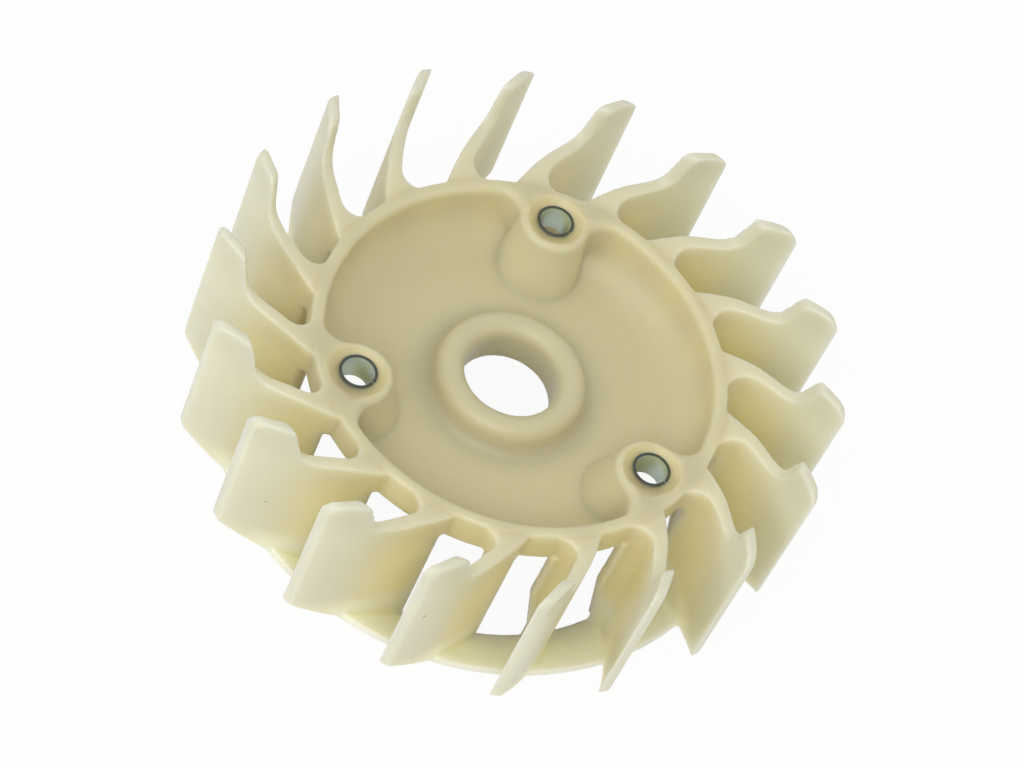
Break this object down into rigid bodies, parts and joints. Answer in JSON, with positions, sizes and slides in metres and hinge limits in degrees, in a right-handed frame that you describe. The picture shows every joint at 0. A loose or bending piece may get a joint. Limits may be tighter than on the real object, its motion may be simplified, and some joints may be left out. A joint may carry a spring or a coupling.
{
  "type": "centrifugal fan wheel",
  "caption": "Moulded centrifugal cooling fan wheel with curved blades between an open dish hub and a conical inlet ring, and steel sleeves in its bolt bosses.",
  "frame": {"origin": "on the wheel's axis, in the plane of the ring's flat land on which it rests", "axes": "+Z along the axis from the inlet ring to the dish's open side; +Y through the centre of one of the three bosses"},
  "size_m": [0.1328, 0.132, 0.051],
  "materials": {
    "nylon": "satin natural nylon, slightly translucent",
    "sleeve_steel": "dull rolled strip"
  },
  "bodies": {
    "root": {"impeller": "nylon", "sleeve_1": "sleeve_steel", "sleeve_2": "sleeve_steel", "sleeve_3": "sleeve_steel"}
  },
  "joints": []
}
